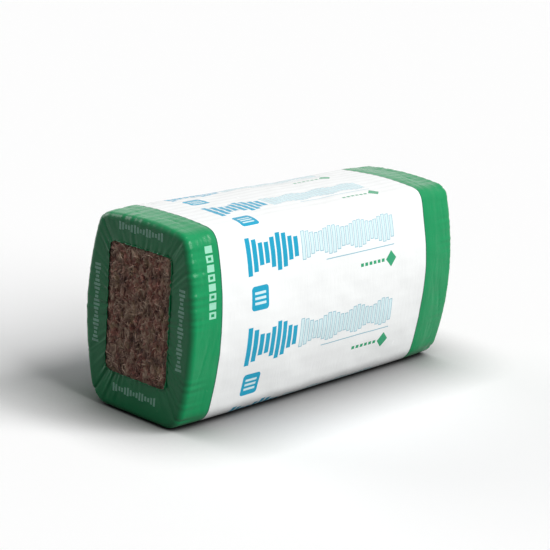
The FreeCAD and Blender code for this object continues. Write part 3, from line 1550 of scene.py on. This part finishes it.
    def roll_lips(self, points: np.ndarray) -> np.ndarray:
        """Adds the rolled edges of the two windows.

        Args:
            points: the sleeve from one window's edge to the other's.

        Returns:
            The same with a few more rows at each end, curled outward.
        """
        rolls = []
        for edge, beside, side in ((points[0], points[1], -1), (points[-1], points[-2], 1)):
            inward = edge - beside
            inward /= np.linalg.norm(inward, axis=1, keepdims=True)
            radius = self.lip * (1 + self.lip_uneven * self.lip_wander(edge * 3))[:, None]
            centre = edge + np.array([side, 0, 0]) * radius
            rows = []
            for step in range(1, self.lip_rows + 1):
                turn = math.radians(self.lip_turn) * step / self.lip_rows
                rows.append(
                    centre
                    + inward * radius * math.sin(turn)
                    - np.array([side, 0, 0]) * radius * math.cos(turn)
                )
            rolls.append(rows)
        return np.concatenate([rolls[0][::-1], points, rolls[1]])

    def add_map(self, sleeve: bpy.types.Object, points: np.ndarray, along: np.ndarray) -> None:
        """Stores each corner's place along the pack and round the girth, in metres.

        Args:
            sleeve: the sleeve's object.
            points: its points, row after row.
            along: distances of its columns round the girth.
        """
        mesh = sleeve.data
        corners = np.zeros(len(mesh.loops), np.int32)
        mesh.loops.foreach_get("vertex_index", corners)
        column = corners % self.around
        distance = along[column].reshape(-1, 4)
        wrapped = (np.ptp(distance, axis=1) > self.section.girth / 2)[:, None]
        behind = wrapped & (distance < self.section.girth / 2)
        distance = np.where(behind, distance + self.section.girth, distance)
        x = points.reshape(-1, 3)[corners, 0]
        self.store_map(mesh, FilmFinish.MAP, x, distance.ravel())
        steps = np.linalg.norm(np.diff(points.mean(axis=1), axis=0), axis=1)
        steps += np.linalg.norm(np.diff(points[:, 0], axis=0), axis=1)
        length = np.concatenate([[0], np.cumsum(steps)])
        up = (0.01 + 0.98 * length / length[-1])[corners // self.around]
        self.store_map(mesh, FilmFinish.FLAT_MAP, 0.01 + 0.98 * distance.ravel() / self.section.girth, up)

    def store_map(self, mesh: bpy.types.Mesh, name: str, across: np.ndarray, up: np.ndarray) -> None:
        """Adds a map to a mesh.

        Args:
            mesh: the mesh.
            name: the map's name.
            across: first coordinate of each corner.
            up: second coordinate of each corner.
        """
        layer = mesh.uv_layers.new(name=name)
        layer.uv.foreach_set("vector", np.column_stack([across, up]).astype(np.float32).ravel())

    def flat_size(self) -> tuple[float, float]:
        """Girth of the film, and its length with what was shrunk over the two ends."""
        return self.section.girth, 2 * (self.section.end + self.turned_in)


# ---------------------------------------------------------------- the slabs


@dataclass
class Stack:
    """Where the slabs' joints stand, read from the CAD slabs.

    Attributes:
        section: the pack's outline.
        ends: how the pack closes.
        names: the slabs' CAD nodes in order from -Y to +Y.
    """

    section: Section
    ends: Ends
    names: Sequence[str]

    def __post_init__(self) -> None:
        """Reads the pitch of the slabs and the bow of their joints."""
        half = len(self.names) // 2
        inner_low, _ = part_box(self.names[half - 1])
        _, next_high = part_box(self.names[half - 2])
        self.half = half
        self.pitch = -inner_low.y
        self.bow = (next_high.y - inner_low.y) * half

    def joint(self, number: int, z: np.ndarray) -> np.ndarray:
        """Places y of a joint between two slabs.

        Args:
            number: the joint's number, where 0 lies before the first slab.
            z: heights.

        Returns:
            One place for each height.
        """
        place = (number - self.half) * self.pitch
        bow = self.bow * abs(number - self.half) / self.half
        rise = (z - self.section.middle) / (self.section.height / 2)
        return place - math.copysign(1, number - self.half) * bow * rise**2


@dataclass(frozen=True)
class Tuft:
    """A short flattened tuft of fibre that lies on the torn wool.

    Attributes:
        length: least and greatest length.
        curl: how much it turns on its way, as a spread in radians.
        width: least and greatest half width.
        flatness: least and greatest thickness, as a share of the width.
        lift: least and greatest height of its middle.
        seat: how far it stands off the wool all along.
        margin: how far it stays inside the window.
        sides: sides of its mesh.
        steps: steps along it.
    """

    length: tuple[float, float] = (0.010, 0.034)
    curl: float = 0.9
    width: tuple[float, float] = (0.0010, 0.0030)
    flatness: tuple[float, float] = (0.35, 0.7)
    lift: tuple[float, float] = (0.0002, 0.0032)
    seat: float = 0.0004
    margin: float = 0.004
    sides: int = 4
    steps: int = 4

    def points(self, spot: np.ndarray, window: Window, chance: np.random.Generator) -> np.ndarray:
        """The points of one tuft.

        Args:
            spot: where its middle lies.
            window: the window that it shows in.
            chance: the draw of its length, way and width.

        Returns:
            Its points, ring after ring.
        """
        outward = math.copysign(1, spot[0])
        angle = chance.uniform(0, math.pi)
        length = chance.uniform(*self.length)
        bend = chance.normal(0, self.curl)
        width = chance.uniform(*self.width)
        thick = width * chance.uniform(*self.flatness)
        lift = chance.uniform(*self.lift)
        sweep = np.linspace(-0.5, 0.5, self.steps + 1)
        arch = 1 - (2 * sweep) ** 2
        heading = angle + bend * sweep
        way = np.column_stack([np.cos(heading), np.sin(heading)])
        path = (np.cumsum(way, axis=0) - way.sum(0) / 2) * length / self.steps
        taper = np.sqrt(np.clip(0.96 * arch + 0.04, 0.02, 1))[:, None]
        around = np.arange(self.sides) * 2 * math.pi / self.sides
        across = taper * width * np.cos(around)
        ring_x = spot[0] + outward * ((lift * arch + self.seat)[:, None] + taper * thick * np.sin(around))
        ring_y = spot[1] + path[:, :1] - way[:, 1:] * across
        ring_z = spot[2] + path[:, 1:] + way[:, :1] * across
        reach_y, reach_z = window.width / 2 - self.margin, window.height / 2 - self.margin
        ring_y = np.clip(ring_y, -reach_y, reach_y)
        ring_z = np.clip(ring_z, window.middle - reach_z, window.middle + reach_z)
        return np.stack([ring_x, ring_y, ring_z], -1).reshape(-1, 3)

    def faces(self) -> np.ndarray:
        """The faces of a tuft, with its two ends closed.

        Returns:
            Corner numbers of its quads.
        """
        around = grid_faces(self.steps + 1, self.sides, True)
        first = np.arange(self.sides)[None, ::-1]
        last = np.arange(self.sides)[None, :] + self.steps * self.sides
        return np.concatenate([around, first, last])


@dataclass
class WoolSlab:
    """One pressed slab of wool, with torn fibre on its two ends.

    Attributes:
        name: the piece's name.
        number: its number in the stack, from 0.
        stack: the stack's joints.
        window: the window that its ends show in.
        across: steps of the mesh through its thickness.
        upward: steps over its height.
        clearance: how far it stays inside the film.
        strands: how many loose tufts lie on each end.
        tuft: the tufts.
        fibre_seed: which set of tufts it has, together with its number.
        tuft_tints: the darkest and the palest tuft.
        lump: height of the torn face's lumps.
        big_lumps: where the big ones lie.
        small_lumps: where the small ones lie.
        small_lump: height of the small ones, as a share of the big ones'.
        layer: height of its thin layers.
        layers: where they lie.
        groove: depth of the joint between two slabs.
        groove_width: how far from the joint it reaches.
        groove_uneven: how much its depth changes.
        groove_wander: where it does.
        covered_relief: how much of the relief is left under the film.
        bulge: how far the wool swells out of the window.
        shown_reach: how far inside the window it does so in full.
        shown_start: how far inside the window it begins, negative under the film.
    """

    # the stored tint: a tuft's own tint, and on the torn faces a painted light and shade
    TINT_AND_SHADE = "tint"

    name: str
    number: int
    stack: Stack
    window: Window
    across: int = 12
    upward: int = 222
    clearance: float = 0.0070
    strands: int = 150
    tuft: Tuft = Tuft()
    fibre_seed: int = 700
    tuft_tints: tuple[float, float] = (-0.55, 0.9)
    lump: float = 0.0032
    big_lumps: Ripple = Ripple(0.026, 61, (1, 0.9, 1.3))
    small_lumps: Ripple = Ripple(0.011, 62, (1, 0.7, 1.6))
    small_lump: float = 0.66
    layer: float = 0.0010
    layers: Ripple = Ripple(0.0075, 63, (1, 0.55, 4.0))
    groove: float = 0.0028
    groove_width: float = 0.0030
    groove_uneven: float = 0.43
    groove_wander: Ripple = Ripple(0.02, 64)
    covered_relief: float = 0.15
    bulge: float = 0.0055
    shown_reach: float = 0.026
    shown_start: float = -0.004

    def outline(self, inset: float, x: float) -> np.ndarray:
        """Grid of points (y, z) over the slab's cross-section.

        Args:
            inset: how far it stays inside the pack's outline.
            x: place along the pack.

        Returns:
            An array of across + 1 by upward + 1 points.
        """
        section, stack = self.stack.section, self.stack
        gap = inset + self.clearance + float(stack.ends.drawn(np.array(x)))
        z = np.linspace(gap, section.height - gap, 801)
        half_width = section.half_width(z) - gap
        left = np.maximum(stack.joint(self.number, z), -half_width)
        right = np.minimum(stack.joint(self.number + 1, z), half_width)
        if self.number == 0:
            left = -half_width
        if self.number == len(stack.names) - 1:
            right = half_width
        room = (right - left > 0.001) & (section.top((left + right) / 2) - gap >= z)
        room &= section.base((left + right) / 2) + gap <= z
        z, left, right = z[room], left[room], right[room]
        level = np.linspace(z[0], z[-1], self.upward + 1)
        low, high = np.interp(level, z, left), np.interp(level, z, right)
        share = np.linspace(0, 1, self.across + 1)[:, None]
        y = low + (high - low) * share
        up = np.clip(level[None, :], section.base(y) + gap, section.top(y) - gap)
        return np.stack([y, up], -1)

    def build(self) -> bpy.types.Object:
        """Makes the slab.

        Returns:
            Its mesh object.
        """
        ends, end = self.stack.ends, self.stack.section.end
        outermost = self.number in (0, len(self.stack.names) - 1)
        most = math.radians(55 if outermost else 90)
        turns = np.linspace(0, most, 4)
        xs = end - self.clearance - ends.bend * (1 - np.sin(turns))
        insets = ends.bend * (1 - np.cos(turns))
        rim = self.rim()
        rings = []
        for x, inset in zip(xs, insets):
            grid = self.outline(inset, x).reshape(-1, 2)[rim]
            rings.append(np.column_stack([np.full(len(rim), x), grid]))
        middle = self.outline(0.0, 0.0).reshape(-1, 2)[rim]
        side = [ring * np.array([-1, 1, 1]) for ring in rings[::-1]][1:]
        side += [np.column_stack([np.full(len(rim), x), middle]) for x in (-end / 3, end / 3)]
        side += rings[:-1]
        face = self.outline(insets[-1], xs[-1])
        near, near_shade = self.end_face(face, -xs[-1])
        far, far_shade = self.end_face(face, xs[-1])
        points = np.concatenate([near, far, *side])
        count = len(near)
        faces = self.body_faces(rim, count, len(side))
        tint = np.concatenate([near_shade, far_shade, np.zeros(len(points) - 2 * count)])
        hair, hair_faces, hair_tint = self.fibres(near, far)
        hair_faces = hair_faces + len(points)
        points = np.concatenate([points, hair])
        slab = make_object(self.name, points, np.concatenate([faces, hair_faces]))
        layer = slab.data.attributes.new(self.TINT_AND_SHADE, "FLOAT", "POINT")
        layer.data.foreach_set("value", np.concatenate([tint, hair_tint]).astype(np.float32))
        return slab

    def rim(self) -> np.ndarray:
        """Numbers of the cross-section grid's points round its edge, in order."""
        numbers = np.arange((self.across + 1) * (self.upward + 1)).reshape(self.across + 1, -1)
        return np.concatenate([numbers[:-1, 0], numbers[-1, :-1], numbers[:0:-1, -1], numbers[0, :0:-1]])

    def body_faces(self, rim: np.ndarray, count: int, rings: int) -> np.ndarray:
        """Faces of the two ends and of the side between them.

        Args:
            rim: numbers of the points round an end.
            count: how many points an end has.
            rings: how many rings of points lie between the ends.

        Returns:
            Corner numbers of the quads, which face outward.
        """
        end = grid_faces(self.across + 1, self.upward + 1, False)
        loops = [rim]
        loops += [2 * count + k * len(rim) + np.arange(len(rim)) for k in range(rings)]
        loops += [count + rim]
        ladder = np.array(loops).reshape(-1)
        side = ladder[grid_faces(len(loops), len(rim), True)]
        return np.concatenate([end[:, ::-1][:, ::-1], count + end[:, ::-1], side[:, ::-1]])

    def shown(self, y: np.ndarray, z: np.ndarray) -> np.ndarray:
        """How far places on an end lie inside the window.

        Args:
            y: places across the pack.
            z: heights.

        Returns:
            1 well inside the window, 0 under the film, and smooth between them.
        """
        inside_y = self.window.width / 2 - np.abs(y)
        inside_z = self.window.height / 2 - np.abs(z - self.window.middle)
        return ease(np.minimum(inside_y, inside_z), self.shown_start, self.shown_reach)

    def end_face(self, face: np.ndarray, x: float) -> tuple[np.ndarray, np.ndarray]:
        """The torn face at one end.

        Args:
            face: grid of points (y, z).
            x: place of the end.

        Returns:
            The points, and a painted light and shade for each: lighter on high lumps and layers, darker in
            low ones and in the grooves at the joints.
        """
        y, z = face[..., 0], face[..., 1]
        flat = np.stack([np.full_like(y, x), y, z], -1)
        shown = self.shown(y, z)
        lumps = (self.big_lumps(flat) + self.small_lumps(flat) * self.small_lump) * self.lump
        layers = self.layers(flat) * self.layer
        share = np.linspace(0, 1, self.across + 1)[:, None]
        beside = np.minimum(share, 1 - share) * self.stack.pitch
        ragged = self.groove * (1 + self.groove_uneven * self.groove_wander(flat))
        groove = (1 - ease(beside, 0.0, self.groove_width)) * ragged
        relief = self.covered_relief + (1 - self.covered_relief) * shown
        move = shown * self.bulge + (lumps + layers - groove) * relief
        flat[..., 0] += math.copysign(1, x) * move
        # painted light and shade: lighter where the face stands out, darker in its hollows and in the
        # grooves at the joints
        tint = np.clip((lumps + layers) / 0.005, -1, 1) * 0.35 - groove / 0.004 * 0.5
        return flat.reshape(-1, 3), tint.reshape(-1)

    def fibres(self, near: np.ndarray, far: np.ndarray) -> tuple[np.ndarray, np.ndarray, np.ndarray]:
        """Loose tufts that lie on the two torn faces.

        Args:
            near: points of the -X face.
            far: points of the +X face.

        Returns:
            Points, faces and how light or dark each point is.
        """
        chance = np.random.default_rng(self.fibre_seed + self.number)
        points, faces, tints = [], [], []
        start = 0
        for face in (near, far):
            shown = self.shown(face[:, 1], face[:, 2])
            spots = face[shown > 0.25]
            if not len(spots):
                continue
            picked = chance.choice(len(spots), self.strands)
            for spot in spots[picked]:
                tuft = self.tuft.points(spot, self.window, chance)
                points.append(tuft)
                faces.append(self.tuft.faces() + start)
                tints.append(np.full(len(tuft), chance.uniform(*self.tuft_tints)))
                start += len(tuft)
        if not points:
            return np.zeros((0, 3)), np.zeros((0, 4), int), np.zeros(0)
        return np.concatenate(points), np.concatenate(faces), np.concatenate(tints)


# ---------------------------------------------------------------- studio


@dataclass
class Studio:
    """Pale floor, soft lamps and the camera.

    Attributes:
        aim: the point that the camera is turned to.
        azimuth: where the camera stands, from -Y towards +X, in degrees.
        elevation: how high it stands over the horizon, in degrees.
        roll: how far it leans, in degrees.
        distance: how far it is from the aim.
        lens: focal length in millimetres on a sensor 36 mm wide.
        floor_size: length of the square floor.
        floor_seen: how pale the floor looks.
        floor_bounce: how pale it is to the light that it throws back up.
        floor_mottle: unevenness of the floor.
        painted_shadow_reach: how far from the pack a painted contact shadow darkens the floor where the
            pack hides the sky.
        painted_shadow_depth: how dark that painted shadow is.
        ambient: light of the surroundings.
    """

    aim: Triple = (0.0, 0.0155, 0.3375)
    azimuth: float = -48.7
    elevation: float = 15.5
    roll: float = 3.84
    distance: float = 5.59
    lens: float = 114.8
    floor_size: float = 60.0
    floor_seen: float = 0.985
    floor_bounce: float = 0.11
    floor_mottle: Grain = Grain(3)
    painted_shadow_reach: float = 0.30
    painted_shadow_depth: float = 1.5
    ambient: float = 0.105

    def build(self) -> None:
        """Sets up the floor, the world, the lamps and the camera."""
        self.floor()
        self.world()
        self.lamps()
        self.camera()
        bpy.context.scene.view_settings.view_transform = "Standard"

    def seen_directly(self, tree: bpy.types.NodeTree) -> Signal:
        """Whether a surface is looked at, and not only lit.

        Args:
            tree: the nodes that it is asked in.

        Returns:
            1 for rays from the camera, from gloss and through glass, 0 for light that bounces on.
        """
        path = tree.nodes.new("ShaderNodeLightPath")
        seen = Signal(tree, path.outputs["Is Camera Ray"])
        for name in ("Is Glossy Ray", "Is Transmission Ray"):
            seen = seen.either(Signal(tree, path.outputs[name]))
        return seen

    def floor(self) -> None:
        """A wide pale floor, which throws less light back up than it shows, with a painted contact shadow
        round the pack.
        """
        half = self.floor_size / 2
        corners = np.array([(-half, -half, 0), (half, -half, 0), (half, half, 0), (-half, half, 0)])
        floor = make_object("studio_floor", corners, np.array([[0, 1, 2, 3]]))
        paint = Paint("studio_floor")
        seen = self.seen_directly(paint.tree)
        # painted contact shadow: the floor's colour darkens by ambient occlusion near the pack
        shade = paint.tree.nodes.new("ShaderNodeAmbientOcclusion")
        shade.inputs["Distance"].default_value = self.painted_shadow_reach
        out_of_painted_shadow = Signal(paint.tree, shade.outputs["AO"]).math("POWER", self.painted_shadow_depth)
        shown = paint.mix(out_of_painted_shadow, (0.0,) * 3, (self.floor_seen,) * 3)
        colour = paint.mix(seen, (self.floor_bounce,) * 3, shown)
        roughness = paint.noise(self.floor_mottle) * 0.1 + 0.85
        floor.data.materials.append(paint.finish(colour, roughness, Specular_IOR_Level=0.0))

    def world(self) -> None:
        """A plain pale surrounding that lights the pack evenly from all sides."""
        world = bpy.data.worlds.new("studio")
        world.use_nodes = True
        tree = world.node_tree
        shine = tree.nodes["Background"]
        shine.inputs["Color"].default_value = (1, 1, 1, 1)
        strength = self.seen_directly(tree) * (1 - self.ambient) + self.ambient
        tree.links.new(strength.socket, shine.inputs["Strength"])
        bpy.context.scene.world = world

    def lamps(self) -> None:
        """A soft key from high over the +X end, a wide light in front and a little from behind."""
        self.lamp("key", source=(0.62, -0.78, 1.20), spread=18, strength=0.85)
        self.lamp("front", source=(0.28, -1.0, 0.78), spread=50, strength=3.05)
        self.lamp("back", source=(-0.24, 1.0, 0.45), spread=34, strength=0.80)

    def lamp(self, name: str, source: Sequence[float], spread: float, strength: float) -> None:
        """A distant soft lamp.

        Args:
            name: its name.
            source: the direction that it stands in.
            spread: its angular size in degrees, which softens its shadows.
            strength: its light, in watts per square metre.
        """
        light = bpy.data.lights.new(name, "SUN")
        light.angle = math.radians(spread)
        light.energy = strength
        lamp = bpy.data.objects.new(name, light)
        lamp.rotation_euler = Vector(source).to_track_quat("Z", "Y").to_euler()
        bpy.context.scene.collection.objects.link(lamp)

    def camera(self) -> None:
        """The camera, which stands off the -X end and the -Y side."""
        around, up = math.radians(self.azimuth), math.radians(self.elevation)
        back = Vector((math.sin(around) * math.cos(up), -math.cos(around) * math.cos(up), math.sin(up)))
        data = bpy.data.cameras.new("camera")
        data.lens = self.lens
        data.sensor_width = 36
        camera = bpy.data.objects.new("camera", data)
        camera.location = Vector(self.aim) + back * self.distance
        turn = (-back).to_track_quat("-Z", "Y").to_matrix().to_4x4()
        lean = turn @ Matrix.Rotation(math.radians(self.roll), 4, "Z")
        camera.rotation_euler = lean.to_euler()
        bpy.context.scene.collection.objects.link(camera)
        bpy.context.scene.camera = camera


# ---------------------------------------------------------------- the whole pack


@dataclass
class SlabPack:
    """The pack: its film sleeve and its slabs.

    Attributes:
        section: the pack's outline.
        body: the body that every piece rides on.
    """

    section: Section
    body: str

    def build(self) -> None:
        """Makes every piece, dresses it and ties it to its body."""
        ends = Ends(self.section.end)
        window = Window()
        names = sorted(name for name in frame["nodes"] if name.startswith("slab_"))
        stack = Stack(self.section, ends, names)
        slabs = [self.slab(name, number, stack, window) for number, name in enumerate(names)]
        self.sleeve(FilmSleeve(self.section, ends, window, stack.pitch), slabs)

    def slab(self, name: str, number: int, stack: Stack, window: Window) -> bpy.types.Object:
        """Makes and dresses one slab.

        Args:
            name: its CAD node.
            number: its number in the stack, from 0.
            stack: the stack's joints.
            window: the window that it shows in.

        Returns:
            The piece.
        """
        piece = WoolSlab(name.replace("slab", "wool_slab"), number, stack, window).build()
        shade = 0.10 * math.sin(number * 2.4)
        piece.data.materials.append(WoolFinish().material(piece.name, shade))
        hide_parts(name)
        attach(piece, self.body)
        log.info("%s: %d faces", piece.name, len(piece.data.polygons))
        return piece

    def sleeve(self, sleeve: FilmSleeve, slabs: Sequence[bpy.types.Object]) -> None:
        """Makes and dresses the film sleeve.

        Args:
            sleeve: the film's shape.
            slabs: the slabs that it lies on; not used.
        """
        piece = sleeve.build()
        piece.data.materials.append(FilmFinish(Print(), self.section).material())
        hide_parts(SLEEVE)
        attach(piece, self.body)
        sleeve.flat_size()
        log.info("%s: %d faces", piece.name, len(piece.data.polygons))


def main() -> None:
    """Builds the pack and the studio."""
    logging.basicConfig(level=logging.INFO, format="%(name)s: %(message)s")
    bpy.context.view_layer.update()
    body = next(iter(frame["bodies"]))
    section = Section(frame["nodes"][SLEEVE])
    SlabPack(section, body).build()
    Studio().build()
    log.info("girth %.3f m", section.girth)


if __name__ == "__main__":
    main()
